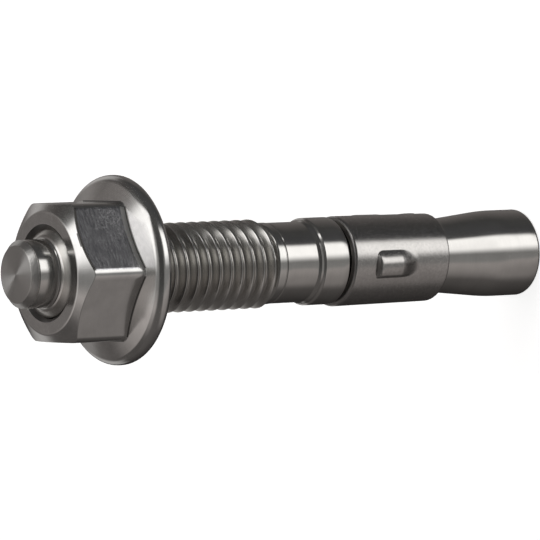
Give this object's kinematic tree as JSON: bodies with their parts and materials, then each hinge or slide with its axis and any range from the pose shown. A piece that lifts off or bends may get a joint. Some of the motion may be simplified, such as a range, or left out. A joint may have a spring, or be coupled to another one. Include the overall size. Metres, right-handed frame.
{
  "type": "wedge anchor",
  "caption": "Stainless steel wedge anchor: threaded stud with a flared cone end, a split expansion sleeve round its neck and a hex flange nut on the thread.",
  "frame": {"origin": "centre of the expander cone's flat end face, on which the anchor stands", "axes": "+Z along the bolt from the cone end towards the dog point and nut; one corner of the hexagon points about 1 degree off -Y"},
  "size_m": [0.0248, 0.0248, 0.0805],
  "materials": {
    "stud_steel": "bright turned and thread-rolled stainless steel, greyish with a warm cast, fine circumferential tool marks",
    "nut_steel": "cold-formed stainless steel, satin with bright rolled edges and light scuffs on the flats",
    "sleeve_steel": "rolled stainless sheet, satin, slightly softer sheen than the stud"
  },
  "bodies": {
    "stud": {"anchor_stud": "stud_steel"},
    "nut": {"flange_nut": "nut_steel"},
    "sleeve": {"expansion_sleeve": "sleeve_steel"}
  },
  "joints": [
    {"name": "nut_travel", "type": "slide", "parent": "stud", "child": "nut", "axis": [0, 0, 1], "range_m": [-0.01925, 0.01225]},
    {"name": "sleeve_spin", "type": "hinge", "parent": "stud", "child": "sleeve", "pos_m": [-0.00008, 0, 0.0234], "axis": [0, 0, 1], "continuous": true}
  ]
}
